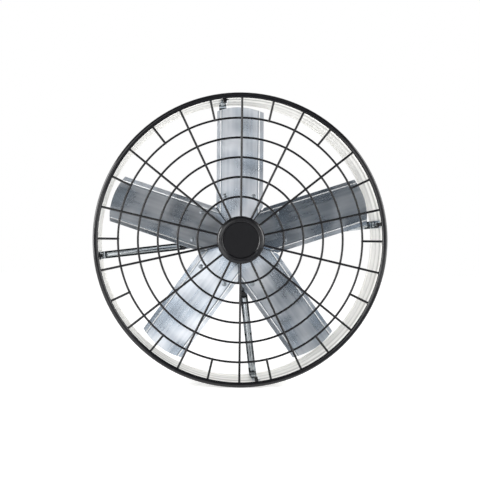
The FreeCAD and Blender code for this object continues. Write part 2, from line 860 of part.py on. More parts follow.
def tie_nut():
    rear = point(tie_bolt_circle_r, ear_front_y - touch)
    front = rear - Y_AXIS * tie_nut_height
    return one_solid(hexagon(tie_bolt_across_flats, front, rear).cut(rod(tie_bolt_r + touch, front, rear)))


def box_screw_drill(side):
    """Hole for a screw through the terminal box floor into the stator, along +X."""
    z = side * box_screw_z
    start = point(box_screw_tip_x(), core_middle_y, z)
    return rod(box_screw_r + hole_clearance, start, point(box_floor_x, core_middle_y, z))


def box_screw_tip_x():
    return math.sqrt(core_r ** 2 - box_screw_z ** 2) - box_screw_depth


def box_screw(side):
    z = side * box_screw_z
    tip = point(box_screw_tip_x() + touch, core_middle_y, z)
    seat = point(box_floor_x + touch, core_middle_y, z)
    head = rod(box_screw_head_r, seat, seat + X_AXIS * box_screw_head)
    return one_solid(rod(box_screw_r, tip, seat).fuse(head))


def cover_screw_places():
    """Centres of the four cover screws, as (y, z) pairs."""
    inset = box_wall + box_post / 2
    places = []
    for y in (box_front_y + inset, box_rear_y - inset):
        for z in (-box_half_width + inset, box_half_width - inset):
            places.append((y, z))
    return places


def cover_screw_drill(y, z, radius):
    return rod(radius, point(box_top_x - cover_screw_depth, y, z), point(cover_top_x, y, z))


def terminal_box():
    """Open box whose foot follows the stator, along +X."""
    box = block(
        point(core_r - box_skirt, box_front_y, -box_half_width),
        point(box_top_x, box_rear_y, box_half_width),
    )
    box = box.cut(disc(core_r + touch, box_front_y, box_rear_y))
    room = block(
        point(box_floor_x, box_front_y + box_wall, -box_half_width + box_wall),
        point(box_top_x, box_rear_y - box_wall, box_half_width - box_wall),
    )
    for y, z in cover_screw_places():
        reach = point(0, box_post / 2, box_post / 2)
        room = room.cut(block(point(box_floor_x, y, z) - reach, point(box_top_x, y, z) + reach))
    box = box.cut(room)
    box = box.cut([cover_screw_drill(y, z, cover_screw_r + touch) for y, z in cover_screw_places()])
    box = box.cut([box_screw_drill(side) for side in (-1, 1)])
    gland_hole = rod(
        gland_thread_r + hole_clearance,
        point(gland_x, box_rear_y - box_wall),
        point(gland_x, box_rear_y),
    )
    return one_solid(box.cut(gland_hole))


def terminal_cover():
    cover = block(
        point(box_top_x + touch, box_front_y, -box_half_width),
        point(cover_top_x, box_rear_y, box_half_width),
    )
    drills = [cover_screw_drill(y, z, cover_screw_r + hole_clearance) for y, z in cover_screw_places()]
    return one_solid(cover.cut(drills))


def cover_screw(y, z):
    seat = point(cover_top_x + touch, y, z)
    shank = rod(cover_screw_r, point(box_top_x - cover_screw_depth + touch, y, z), seat)
    head = rod(cover_screw_head_r, seat, seat + X_AXIS * cover_screw_head)
    return one_solid(shank.fuse(head))


def cable_gland():
    """Gland in the rear wall of the box: thread, hexagon and sealing nut round an open bore."""
    seat = point(gland_x, box_rear_y + touch)
    thread = rod(gland_thread_r, seat - Y_AXIS * gland_thread, seat)
    hex_end = seat + Y_AXIS * gland_hex
    body = hexagon(gland_across_flats, seat, hex_end)
    nut = Part.makeCone(gland_nut_r, gland_thread_r, gland_nut, hex_end, Y_AXIS)
    bore = rod(gland_bore_r, seat - Y_AXIS * gland_thread, hex_end + Y_AXIS * gland_nut)
    return one_solid(thread.fuse([body, nut]).cut(bore))


def box_part(height, side):
    """Plain block on the head of a box screw, on one side of the box."""
    return block(
        point(box_part_x, box_part_front_y, side * box_part_gap),
        point(box_part_x + height, box_part_rear_y, side * box_part_outer_z),
    )


nodes = {
    "casing_sleeve": casing_sleeve(),
    "grille_rim": grille_rim(),
    "grille_short_spokes": group(turned_set(
        spoke(outer_ring_r - short_spoke_overhang), spoke_count, first_spoke_angle + spoke_step / 2
    )),
    "grille_plate": grille_plate(),
    "grille_cap": grille_cap(),
    "cap_screws": group(turned_set(cap_screw(), cap_screw_count, cap_screw_angle)),
    "grille_lugs": group(turned_set(grille_lug(), strut_count, strut_angle)),
    "lug_screws": group(turned_set(lug_screw(), strut_count, strut_angle)),
    "foot_rivets": group(turned_set(foot_rivet(), strut_count, strut_angle)),
    "strut_screws": group(turned_set(strut_screw(), strut_count, strut_angle)),
    "blade_rivets": blade_rivets(),
    "hub_spider": hub_spider(),
    "hub_set_screw": hub_set_screw(),
    "hub_washer": hub_washer(),
    "hub_nut": hub_nut(),
    "motor_shaft": motor_shaft(),
    "rotor_core": rotor_core(),
    "stator_core": stator_core(),
    "stator_windings": stator_windings(),
    "front_shield": front_shield(),
    "rear_shield": end_shield(core_rear_y, 1, 0.0),
    "front_bearing": ball_bearing(core_front_y - bearing_distance),
    "rear_bearing": ball_bearing(core_rear_y + bearing_distance - bearing_width),
    "tie_bolts": group(turned_set(tie_bolt(), strut_count, strut_angle)),
    "tie_nuts": group(turned_set(tie_nut(), strut_count, strut_angle)),
    "terminal_box": turned(terminal_box(), box_angle),
    "terminal_cover": turned(terminal_cover(), box_angle),
    "cover_screws": group([turned(cover_screw(y, z), box_angle) for y, z in cover_screw_places()]),
    "box_screws": group([turned(box_screw(side), box_angle) for side in (-1, 1)]),
    "cable_gland": turned(cable_gland(), box_angle),
    "run_capacitor": turned(box_part(capacitor_height, -1), box_angle),
    "terminal_block": turned(box_part(block_height, 1), box_angle),
}
for index in range(ring_count):
    nodes[f"grille_ring_{index + 1}"] = grille_ring(first_ring_r + index * ring_pitch)
for index, shape in enumerate(turned_set(spoke(spoke_inner_r), spoke_count, first_spoke_angle)):
    nodes[f"grille_spoke_{index + 1}"] = shape
for index, shape in enumerate(turned_set(blade(), blade_count, first_blade_angle - 90)):
    nodes[f"blade_{index + 1}"] = shape
for index, shape in enumerate(turned_set(motor_strut(), strut_count, strut_angle)):
    nodes[f"motor_strut_{index + 1}"] = shape

os.makedirs("parts", exist_ok=True)
for name, shape in nodes.items():
    shape.exportStep(f"parts/{name}.step")
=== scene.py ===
import json
import math

import bmesh
import bpy
from mathutils import Matrix, Quaternion, Vector

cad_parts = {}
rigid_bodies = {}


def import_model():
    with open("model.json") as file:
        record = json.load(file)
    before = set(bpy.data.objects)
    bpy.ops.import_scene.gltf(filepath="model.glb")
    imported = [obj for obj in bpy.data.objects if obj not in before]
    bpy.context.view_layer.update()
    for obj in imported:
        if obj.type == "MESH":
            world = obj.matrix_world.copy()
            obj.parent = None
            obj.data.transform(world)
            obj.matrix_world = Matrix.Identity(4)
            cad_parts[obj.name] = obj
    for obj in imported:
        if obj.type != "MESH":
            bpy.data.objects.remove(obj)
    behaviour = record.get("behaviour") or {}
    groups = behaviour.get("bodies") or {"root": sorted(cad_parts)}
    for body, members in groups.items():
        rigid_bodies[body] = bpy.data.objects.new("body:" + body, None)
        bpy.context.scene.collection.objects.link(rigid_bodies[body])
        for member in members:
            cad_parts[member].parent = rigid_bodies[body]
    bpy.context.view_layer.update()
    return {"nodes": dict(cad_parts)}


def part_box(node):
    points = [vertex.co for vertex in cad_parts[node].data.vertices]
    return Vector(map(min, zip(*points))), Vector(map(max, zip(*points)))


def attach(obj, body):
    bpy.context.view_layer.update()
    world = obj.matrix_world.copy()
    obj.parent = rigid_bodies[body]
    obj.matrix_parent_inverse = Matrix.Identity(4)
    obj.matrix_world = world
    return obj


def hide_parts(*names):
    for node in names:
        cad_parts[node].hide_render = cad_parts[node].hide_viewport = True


# Looks of a wall exhaust fan of the ring type: black wire grille, pale casing, bare metal blades.
# Lengths are metres. The fan axis is Y, the grille faces -Y and Z is up.

MM = 0.001

# Camera, as the photograph shows the fan: nearly straight on, a little from the left, hardly tilted
camera_distance = 2.85
camera_yaw = math.radians(-3.0)
camera_roll = math.radians(0.6)
camera_target = Vector((-1.4 * MM, -6.2 * MM, 0.0))
sensor_width = 36.0
photo_width_px = 480
rim_radius_px = 147.74
rim_outer_r = 272.0 * MM

# Surroundings: how bright they are off the ends of the fan axis, off its sides and in reflections
end_ambient = 1.0
side_ambient = 0.3
room_strength = 0.03

# Shares of a direction along the fan axis where the backdrop and the ends begin and where they are full
backdrop_start = 0.05
backdrop_full = 0.4
ends_start = 0.2
ends_full = 0.75

# Lamps and bright panels
lamp_distance = 2.2
panel_width = 1.3
panel_height = 2.0

# Floor, and the cards and the lamp that lie just above it
floor_half_width = 8.0
floor_front = -2.6
floor_rear = 9.0
floor_level = -rim_outer_r - 0.2 * MM
card_level = -rim_outer_r + 2.0 * MM
low_lamp_level = -rim_outer_r + 5.0 * MM
floor_glow = 0.55

# Blades: how many, where the first one stands, and how far the fold lines run from the middle as seen
blade_count = 5
first_blade_angle = 90.0
fold_line_offset = 35.7 * MM
# Widths of the painted shade line and of the painted highlight line along each fold of a blade
painted_shade_width = 1.8 * MM
painted_highlight_width = 1.7 * MM

# Lines of painted shade round the sleeve; they fade from the first to the last
first_shade_line = 25.0 * MM
shade_line_pitch = 54.0 * MM
last_shade_line = first_shade_line + 2 * shade_line_pitch

# Grille cap: the recess in its front and the blank plate that lies in it
cap_recess_depth = 2.0 * MM
cap_plate_r = 32.3 * MM
cap_plate_border = 1.6 * MM
cap_plate_thickness = 1.2 * MM
cap_plate_edge = 0.4 * MM
cap_plate_segments = 96
cap_plate_tolerance = 0.01 * MM

# Grille wires, and the weld beads where they cross or meet the rim
spoke_count = 14
first_spoke_angle = 90.0
ring_count = 5
first_ring_r = 79.8 * MM
sleeve_inner_r = 262.0 * MM
spoke_wire_r = 2.1 * MM
weld_r = 2.0 * MM
weld_length = 3.2 * MM
rim_weld_inset = 1.2 * MM

# Softened edges: what counts as one point, as flat and as an edge, and widths of the rounding
same_point = 0.001 * MM
flat_angle = math.radians(1.0)
sharp_angle = math.radians(35.0)
moulded_edge = 1.2 * MM
head_edge = 0.5 * MM
edge_segments = 2

# Patterns of the finishes: sizes of their cells and clouds, and distances between their lines
orange_peel = 3.0 * MM
mould_grit = 1.2 * MM
polyamide_grain = 1.0 * MM
thermoset_clouds = 9.0 * MM
roll_marks = 24.0 * MM
sheet_grain_width = 5.0 * MM
sheet_grain_length = 250.0 * MM
sheet_clouds = 55.0 * MM
sheet_waviness = 1.6 * MM
zinc_spangles = 7.0 * MM
plating_clouds = 2.5 * MM
rivet_scuffs = 1.5 * MM
phosphate_bloom = 2.0 * MM
casting_skin = 2.2 * MM
lamination_lines = 3.0 * MM
grinding_rings = 2.0 * MM
hub_sand = 1.6 * MM
copper_strands = 1.6 * MM
lapping_clouds = 1.5 * MM

# Share of the clouds, partly painted reflection, against the grain in the tone of the blades
sheet_cloud_share = 0.84

# Sockets of a Mix node, by number because names repeat: factor, two values, two colours and the colour out
FACTOR = 0
VALUE_A = 2
VALUE_B = 3
COLOUR_A = 6
COLOUR_B = 7
COLOUR_OUT = 2

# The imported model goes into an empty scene
for leftover in list(bpy.data.objects):
    bpy.data.objects.remove(leftover)
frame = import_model()
nodes = frame["nodes"]
scene = bpy.context.scene
scene.view_settings.view_transform = "Standard"


def linear(hex_colour):
    """Linear colour of an sRGB hex value."""
    channels = []
    for start in (1, 3, 5):
        value = int(hex_colour[start:start + 2], 16) / 255
        if value <= 0.04045:
            channels.append(value / 12.92)
        else:
            channels.append(((value + 0.055) / 1.055) ** 2.4)
    return (*channels, 1.0)


def link_inputs(tree, node, links):
    """Link other nodes' outputs to the inputs of a node."""
    for key, source in links.items():
        tree.links.new(source, node.inputs[key])


def add_node(tree, kind, settings, links=()):
    """Node of one kind, with its inputs or properties set and other nodes' outputs linked in."""
    node = tree.nodes.new("ShaderNode" + kind)
    for key, value in settings.items():
        if isinstance(key, int) or key in node.inputs:
            node.inputs[key].default_value = value
        else:
            setattr(node, key, value)
    link_inputs(tree, node, dict(links))
    return node


def plain_material(name, settings):
    """Material with its node tree and its shader, whose even values are set."""
    material = bpy.data.materials.new(name)
    material.use_nodes = True
    tree = material.node_tree
    tree.nodes.clear()
    shader = add_node(tree, "BsdfPrincipled", settings)
    add_node(tree, "OutputMaterial", {}, {"Surface": shader.outputs["BSDF"]})
    return material, tree, shader


def patterned_material(name, settings):
    """Material with its node tree, its shader and the Object coordinates that its patterns follow."""
    material, tree, shader = plain_material(name, settings)
    coords = add_node(tree, "TexCoord", {}).outputs["Object"]
    return material, tree, shader, coords


def follow_pattern(tree, shader, pattern, tones, roughness=None, bump=None):
    """Let a pattern mix two tones and, where given, two roughnesses, and raise a bump (strength, depth)."""
    tone = add_node(
        tree, "Mix", {"data_type": "RGBA", COLOUR_A: linear(tones[0]), COLOUR_B: linear(tones[1])},
        {FACTOR: pattern},
    )
    link_inputs(tree, shader, {"Base Color": tone.outputs[COLOUR_OUT]})
    if roughness:
        gloss = add_node(
            tree, "MapRange", {"To Min": roughness[0], "To Max": roughness[1]}, {"Value": pattern}
        )
        link_inputs(tree, shader, {"Roughness": gloss.outputs["Result"]})
    if bump:
        relief = add_node(tree, "Bump", {"Strength": bump[0], "Distance": bump[1]}, {"Height": pattern})
        link_inputs(tree, shader, {"Normal": relief.outputs["Normal"]})


def per_metre(size):
    """Texture scale at which one cell of a pattern has this size."""
    return 1.0 / size


def waves_per_metre(period):
    """Wave texture scale at which its bands repeat at this distance, as it turns 20 radians per unit."""
    return 2 * math.pi / (20 * period)


def black_powder_coat():
    """Baked black powder coat on steel wire: deep glossy black with a faint orange peel."""
    material, tree, shader, coords = patterned_material("black_powder_coat_on_steel", {"IOR": 1.5})
    peel = add_node(tree, "TexNoise", {"Scale": per_metre(orange_peel), "Detail": 2.0}, {"Vector": coords})
    follow_pattern(
        tree, shader, peel.outputs["Fac"],
        tones=("#09090b", "#131316"), roughness=(0.1, 0.16), bump=(0.1, 0.1 * MM),
    )
    return material


def moulded_abs(name, polish, shine):
    """Black moulded ABS: deep black, polished or matt by its mould, with the grit of a spark-eroded skin."""
    material, tree, shader, coords = patterned_material(name, {"IOR": 1.54, "Specular IOR Level": shine})
    # The real grit is about 0.1 mm; it is drawn at 1.2 mm so that it shows
    grit = add_node(tree, "TexNoise", {"Scale": per_metre(mould_grit), "Detail": 3.0}, {"Vector": coords})
    follow_pattern(
        tree, shader, grit.outputs["Fac"],
        tones=("#08080a", "#141416"), roughness=(polish, polish + 0.1), bump=(0.25, 0.15 * MM),
    )
    return material


def moulded_polyamide():
    """Black moulded polyamide: dull black with a fine moulded grain."""
    material, tree, shader, coords = patterned_material("black_moulded_polyamide", {"IOR": 1.53})
    grain = add_node(
        tree, "TexNoise", {"Scale": per_metre(polyamide_grain), "Detail": 3.0}, {"Vector": coords}
    )
    follow_pattern(
        tree, shader, grain.outputs["Fac"],
        tones=("#1b1c1e", "#2a2b2d"), roughness=(0.42, 0.6), bump=(0.25, 0.12 * MM),
    )
    return material


def pale_thermoset():
    """Cream moulded thermoset of the box's inner parts: dull, with faint flow clouds."""
    material, tree, shader, coords = patterned_material("cream_moulded_thermoset", {"IOR": 1.5})
    clouds = add_node(
        tree, "TexNoise", {"Scale": per_metre(thermoset_clouds), "Detail": 3.0}, {"Vector": coords}
    )
    follow_pattern(
        tree, shader, clouds.outputs["Fac"], tones=("#d9d5c8", "#e6e3d8"), roughness=(0.4, 0.55)
    )
    return material


def painted_bead_shade(tree, coords):
    """Value that is 1 on the first line of painted shade round the sleeve, less on the next ones and 0
    between them.
    """
    shift = shade_line_pitch / 2 - first_shade_line
    shifted = add_node(tree, "Mapping", {"Location": (0.0, shift, 0.0)}, {"Vector": coords})
    waves = add_node(
        tree, "TexWave", {"bands_direction": "Y", "Scale": waves_per_metre(shade_line_pitch)},
        {"Vector": shifted.outputs["Vector"]},
    )
    depth = add_node(tree, "SeparateXYZ", {}, {0: coords})
    faded = add_node(
        tree, "MapRange",
        {"From Min": first_shade_line, "From Max": last_shade_line, "To Min": 1.0, "To Max": 0.0},
        {"Value": depth.outputs["Y"]},
    )
    line = add_node(
        tree, "MapRange", {"From Min": 0.6, "From Max": 1.0},
        {"Value": waves.outputs["Fac"], "To Max": faded.outputs["Result"]},
    )
    return line.outputs["Result"]


def white_enamel():
    """Baked off-white enamel on rolled sheet: warm and satin, with painted shade as greyer lines round the
    sleeve.
    """
    material, tree, shader, coords = patterned_material("off_white_enamel_on_steel", {"IOR": 1.5})
    # Fine roll marks run round the sheet; they are drawn 24 mm apart so that they show
    round_sheet = add_node(
        tree, "Mapping", {"Scale": (0.0, per_metre(roll_marks), 0.0)}, {"Vector": coords}
    )
    marks = add_node(
        tree, "TexNoise", {"Scale": 1.0, "Detail": 0.0}, {"Vector": round_sheet.outputs["Vector"]}
    )
    marked = add_node(
        tree, "Mix", {"data_type": "RGBA", COLOUR_A: linear("#eeede8"), COLOUR_B: linear("#faf9f6")},
        {FACTOR: marks.outputs["Fac"]},
    )
    # Painted shade: grey lines round the sleeve, fading towards the rear
    tone = add_node(
        tree, "Mix", {"data_type": "RGBA", COLOUR_B: linear("#b2b2ae")},
        {FACTOR: painted_bead_shade(tree, coords), COLOUR_A: marked.outputs[COLOUR_OUT]},
    )
    gloss = add_node(tree, "MapRange", {"To Min": 0.34, "To Max": 0.46}, {"Value": marks.outputs["Fac"]})
    link_inputs(tree, shader, {
        "Base Color": tone.outputs[COLOUR_OUT],
        "Roughness": gloss.outputs["Result"],
    })
    return material


def line_mask(tree, position, middle, width):
    """Value that is 1 on a soft line of this width about a middle and 0 off it."""
    offset = add_node(tree, "Math", {"operation": "SUBTRACT", 1: middle}, {0: position})
    distance = add_node(tree, "Math", {"operation": "ABSOLUTE"}, {0: offset.outputs[0]})
    mask = add_node(
        tree, "MapRange", {"From Min": 0.2 * width, "From Max": 0.8 * width, "To Min": 1.0, "To Max": 0.0},
        {"Value": distance.outputs[0]},
    )
    return mask.outputs["Result"]


def rolled_aluminium(angle):
    """Rolled aluminium sheet of a blade at this angle: bluish and softly clouded, partly as painted
    reflection, with a line of painted shade and a line of painted white highlight along both folds."""
    material, tree, shader, coords = patterned_material("rolled_aluminium_%d" % round(angle), {})
    along = add_node(
        tree, "Mapping", {"Rotation": (0.0, math.radians(angle - 90.0), 0.0)}, {"Vector": coords}
    )
    # The rolling grain is finer than 1 mm; it is drawn 5 mm wide so that it shows
    across_grain = per_metre(sheet_grain_width)
    stretched = add_node(
        tree, "Mapping", {"Scale": (across_grain, across_grain, per_metre(sheet_grain_length))},
        {"Vector": along.outputs["Vector"]},
    )
    grain = add_node(
        tree, "TexNoise", {"Scale": 1.0, "Detail": 0.0}, {"Vector": stretched.outputs["Vector"]}
    )
    clouds = add_node(
        tree, "TexNoise", {"Scale": per_metre(sheet_clouds), "Detail": 1.0, "Roughness": 0.4},
        {"Vector": coords},
    )
    both = add_node(
        tree, "Mix", {"data_type": "FLOAT", FACTOR: sheet_cloud_share},
        {VALUE_A: grain.outputs["Fac"], VALUE_B: clouds.outputs["Fac"]},
    )
    spread = add_node(
        tree, "MapRange", {"interpolation_type": "SMOOTHSTEP", "From Min": 0.3, "From Max": 0.7},
        {"Value": both.outputs[0]},
    )
    # Tone of the sheet from grain and clouds; the clouds are partly the sheet's own mottling and partly
    # painted reflection
    sheet = add_node(
        tree, "Mix", {"data_type": "RGBA", COLOUR_A: linear("#a2adb9"), COLOUR_B: linear("#e4e8ee")},
        {FACTOR: spread.outputs["Result"]},
    )
    across = add_node(tree, "SeparateXYZ", {}, {0: along.outputs["Vector"]})
    side = add_node(tree, "Math", {"operation": "ABSOLUTE"}, {0: across.outputs["X"]})
    # Painted shade and painted highlight: a dark line just inside each fold and a white line just outside it
    painted_highlight = line_mask(tree, side.outputs[0], fold_line_offset + painted_highlight_width / 2, painted_highlight_width)
    painted_shade = line_mask(tree, side.outputs[0], fold_line_offset - painted_shade_width / 2, painted_shade_width)
    # Painted highlight: the outer line of each fold turns white
    highlighted = add_node(
        tree, "Mix", {"data_type": "RGBA", COLOUR_B: linear("#ffffff")},
        {FACTOR: painted_highlight, COLOUR_A: sheet.outputs[COLOUR_OUT]},
    )
    # Painted shade: the inner line of each fold turns a darker grey
    tone = add_node(
        tree, "Mix", {"data_type": "RGBA", COLOUR_B: linear("#929ca6")},
        {FACTOR: painted_shade, COLOUR_A: highlighted.outputs[COLOUR_OUT]},
    )
    gloss = add_node(tree, "MapRange", {"To Min": 0.24, "To Max": 0.34}, {"Value": spread.outputs["Result"]})
    waves = add_node(
        tree, "Bump", {"Strength": 1.0, "Distance": sheet_waviness}, {"Height": clouds.outputs["Fac"]}
    )
    # The painted highlight along each fold is also made less metallic, so that it shows as a bright diffuse
    # white line
    highlight_metallic = add_node(tree, "MapRange", {"To Min": 1.0, "To Max": 0.72}, {"Value": painted_highlight})
    link_inputs(tree, shader, {
        "Base Color": tone.outputs[COLOUR_OUT],
        "Roughness": gloss.outputs["Result"],
        "Normal": waves.outputs["Normal"],
        "Metallic": highlight_metallic.outputs["Result"],
    })
    return material


def galvanised_strip():
    """Bright galvanised steel strip: pale, fairly polished, with soft zinc spangles."""
    material, tree, shader, coords = patterned_material("galvanised_steel_strip", {"Metallic": 1.0})
    spangles = add_node(tree, "TexVoronoi", {"Scale": per_metre(zinc_spangles)}, {"Vector": coords})
    follow_pattern(
        tree, shader, spangles.outputs["Distance"], tones=("#b4babf", "#d0d5d8"), roughness=(0.04, 0.09)
    )
    return material


def zinc_plating():
    """Zinc plated steel of nuts, bolts and rivets: bright bluish metal, a little cloudy."""
    material, tree, shader, coords = patterned_material("zinc_plated_steel", {"Metallic": 1.0})
    clouds = add_node(
        tree, "TexNoise", {"Scale": per_metre(plating_clouds), "Detail": 3.0}, {"Vector": coords}
    )
    follow_pattern(
        tree, shader, clouds.outputs["Fac"], tones=("#b9bfc4", "#d8dcdf"), roughness=(0.2, 0.34)
    )
    return material


def aluminium_rivet():
    """Aluminium blind rivets: grey metal, duller than the sheet about them."""
    material, tree, shader, coords = patterned_material("aluminium_rivets", {"Metallic": 1.0})
    scuffs = add_node(
        tree, "TexNoise", {"Scale": per_metre(rivet_scuffs), "Detail": 3.0}, {"Vector": coords}
    )
    follow_pattern(
        tree, shader, scuffs.outputs["Fac"], tones=("#a4adb5", "#c8ced4"), roughness=(0.28, 0.42)
    )
    return material


def blackened_steel():
    """Black phosphated screws: dull black with a faint grey bloom."""
    material, tree, shader, coords = patterned_material("black_phosphated_steel", {"IOR": 1.5})
    bloom = add_node(
        tree, "TexNoise", {"Scale": per_metre(phosphate_bloom), "Detail": 3.0}, {"Vector": coords}
    )
    follow_pattern(
        tree, shader, bloom.outputs["Fac"], tones=("#141415", "#262628"), roughness=(0.34, 0.5)
    )
    return material


def motor_paint():
    """Dark grey stove paint on a casting: semi-gloss over the rough skin of the casting."""
    material, tree, shader, coords = patterned_material("grey_paint_on_casting", {"IOR": 1.5})
    skin = add_node(tree, "TexNoise", {"Scale": per_metre(casting_skin), "Detail": 4.0}, {"Vector": coords})
    follow_pattern(
        tree, shader, skin.outputs["Fac"],
        tones=("#34383b", "#43484b"), roughness=(0.3, 0.46), bump=(0.35, 0.2 * MM),
    )
    return material


def varnished_laminations():
    """Stack of varnished steel sheets: dark grey metal with a fine line at every sheet."""
    material, tree, shader, coords = patterned_material(
        "varnished_steel_laminations", {"Metallic": 0.7, "Roughness": 0.38}
    )
    # Sheets are 0.5 mm thick; a line is drawn every 3 mm so that the stack shows
    sheets = add_node(
        tree, "TexWave",
        {"bands_direction": "Y", "Scale": waves_per_metre(lamination_lines), "Distortion": 0.4},
        {"Vector": coords},
    )
    follow_pattern(tree, shader, sheets.outputs["Fac"], tones=("#3a3c3f", "#74787c"), bump=(0.4, 0.15 * MM))
    return material


def ground_steel():
    """Ground steel shaft: bright metal with fine turning rings."""
    material, tree, shader, coords = patterned_material("ground_steel", {"Metallic": 1.0})
    # Grinding marks are far finer; they are drawn 2 mm apart so that they show
    rings = add_node(
        tree, "TexWave",
        {"bands_direction": "Y", "Scale": waves_per_metre(grinding_rings), "Distortion": 1.5},
        {"Vector": coords},
    )
    follow_pattern(
        tree, shader, rings.outputs["Fac"], tones=("#bfc1c2", "#d6d7d7"), roughness=(0.16, 0.28)
    )
    return material


def cast_aluminium():
    """Aluminium hub as it leaves the mould: pale grey, dull, with a sandy skin."""
    material, tree, shader, coords = patterned_material("cast_aluminium", {"Metallic": 1.0})
    sand = add_node(tree, "TexNoise", {"Scale": per_metre(hub_sand), "Detail": 5.0}, {"Vector": coords})
    follow_pattern(
        tree, shader, sand.outputs["Fac"],
        tones=("#a3a6a8", "#c3c6c8"), roughness=(0.42, 0.6), bump=(0.4, 0.2 * MM),
    )
    return material


def enamelled_copper():
    """Enamelled copper winding: brown-red metal, with the strands as fine rings."""
    material, tree, shader, coords = patterned_material(
        "enamelled_copper_wire", {"Metallic": 1.0, "Roughness": 0.32}
    )
    strands = add_node(
        tree, "TexWave",
        {
            "wave_type": "RINGS", "rings_direction": "Y", "Scale": waves_per_metre(copper_strands),
            "Distortion": 1.0,
        },
        {"Vector": coords},
    )
    follow_pattern(tree, shader, strands.outputs["Fac"], tones=("#6e3418", "#b4683a"), bump=(0.5, 0.3 * MM))
    return material


def bearing_steel():
    """Polished bearing steel: bright and mirror-like, with faint lapping clouds."""
    material, tree, shader, coords = patterned_material("polished_bearing_steel", {"Metallic": 1.0})
    lapping = add_node(
        tree, "TexNoise", {"Scale": per_metre(lapping_clouds), "Detail": 2.0}, {"Vector": coords}
    )
    follow_pattern(
        tree, shader, lapping.outputs["Fac"], tones=("#c8c9ca", "#dddddc"), roughness=(0.08, 0.16)
    )
    return material


def paint(material, *names):
    """Give CAD nodes a material."""
    for name in names:
        for slot in nodes[name].material_slots:
            slot.material = material


def new_object(name, shape, material):
    """Object at the origin, with a finished bmesh as its mesh."""
    mesh = bpy.data.meshes.new(name)
    shape.to_mesh(mesh)
    shape.free()
    mesh.materials.append(material)
    made = bpy.data.objects.new(name, mesh)
    scene.collection.objects.link(made)
    return made


def add_piece(name, shape, material, body):
    """Turn a finished bmesh into a piece of the fan that moves with a body and has the given material."""
    piece = new_object(name, shape, material)
    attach(piece, body)
    return piece


def on_front_rim(edge, front_y):
    """Tell whether an edge runs along the outer front corner of the cap's plate."""
    return all(
        abs(vert.co.y - front_y) < cap_plate_tolerance
        and math.hypot(vert.co.x, vert.co.z) > cap_plate_r - cap_plate_tolerance
        for vert in edge.verts
    )


def cap_plate():
    """Blank matt plate in the recess of the grille cap, with a raised border and a softened edge."""
    front_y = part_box("grille_cap")[0][1] + cap_recess_depth - cap_plate_thickness
    plate = bmesh.new()
    bmesh.ops.create_circle(plate, cap_ends=True, radius=cap_plate_r, segments=cap_plate_segments)
    upright = Matrix.Rotation(math.pi / 2, 3, "X")
    bmesh.ops.rotate(plate, cent=(0, 0, 0), matrix=upright, verts=plate.verts)
    bmesh.ops.translate(plate, vec=(0.0, front_y, 0.0), verts=plate.verts)
    front = plate.faces[:]
    wall = bmesh.ops.extrude_face_region(plate, geom=front, use_keep_orig=True)
    rear = [item for item in wall["geom"] if isinstance(item, bmesh.types.BMVert)]
    bmesh.ops.translate(plate, vec=(0.0, cap_plate_thickness, 0.0), verts=rear)
    bmesh.ops.inset_region(plate, faces=front, thickness=cap_plate_border, depth=0.0)
    middle = [vert for face in front for vert in face.verts]
    bmesh.ops.translate(plate, vec=(0.0, cap_plate_edge, 0.0), verts=middle)
    rim = [edge for edge in plate.edges if on_front_rim(edge, front_y)]
    bmesh.ops.bevel(
        plate, geom=rim, offset=cap_plate_edge, segments=edge_segments, profile=0.5, affect="EDGES",
        material=-1,
    )
    bmesh.ops.recalc_face_normals(plate, faces=plate.faces)
    matt_abs = moulded_abs("matt_black_abs", polish=0.6, shine=0.12)
    add_piece("cap_plate", plate, matt_abs, "casing")


def weld_bead(welds, place, along):
    """Add one small drop of weld metal, drawn out along a wire."""
    drop = bmesh.ops.create_icosphere(welds, subdivisions=1, radius=weld_r)
    stretch = Matrix.Diagonal((weld_length / weld_r, 1.0, 1.0))
    turn = Matrix.Rotation(-along, 3, "Y")
    bmesh.ops.transform(welds, matrix=(turn @ stretch).to_4x4(), verts=drop["verts"])
    bmesh.ops.translate(welds, vec=place, verts=drop["verts"])


def grille_welds(material):
    """Weld beads at every crossing of a spoke and a ring and at every end of a spoke on the rim."""
    spoke_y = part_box("grille_spoke_1")[0][1] + spoke_wire_r
    ring_pitch = (sleeve_inner_r - first_ring_r) / ring_count
    radii = [first_ring_r + index * ring_pitch for index in range(ring_count)]
    welds = bmesh.new()
    for index in range(2 * spoke_count):
        angle = math.radians(first_spoke_angle + index * 180 / spoke_count)
        outward = Vector((math.cos(angle), 0.0, math.sin(angle)))
        # Every second wire is a short one that crosses the outermost ring only
        crossed = radii if index % 2 == 0 else radii[-1:]
        for radius in crossed:
            weld_bead(welds, outward * radius + Vector((0.0, spoke_y + spoke_wire_r, 0.0)), angle)
        weld_bead(welds, outward * (sleeve_inner_r - rim_weld_inset) + Vector((0.0, spoke_y, 0.0)), angle)
    for face in welds.faces:
        face.smooth = True
    add_piece("grille_welds", welds, material, "casing")


def is_sharp(edge):
    """Tell whether two faces meet at this edge at more than the sharp angle."""
    return len(edge.link_faces) == 2 and edge.calc_face_angle() > sharp_angle


def softened(name, width, body):
    """Copy of a CAD node with its sharp edges rounded, in place of the node."""
    shape = bmesh.new()
    shape.from_mesh(nodes[name].data)
    bmesh.ops.remove_doubles(shape, verts=shape.verts, dist=same_point)
    bmesh.ops.dissolve_limit(shape, angle_limit=flat_angle, verts=shape.verts, edges=shape.edges)
    bmesh.ops.bevel(
        shape, geom=[edge for edge in shape.edges if is_sharp(edge)], offset=width, segments=edge_segments,
        profile=0.5, affect="EDGES", material=-1, clamp_overlap=True,
    )
    bmesh.ops.recalc_face_normals(shape, faces=shape.faces)
    piece = add_piece(name + "_softened", shape, nodes[name].material_slots[0].material, body)
    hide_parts(name)


def lamp_direction(off_axis, around):
    """Direction from the fan to a lamp, by its angle off the fan axis and round it in degrees."""
    tilt = math.radians(off_axis)
    turn = math.radians(around)
    return Vector((math.sin(tilt) * math.cos(turn), -math.cos(tilt), math.sin(tilt) * math.sin(turn)))


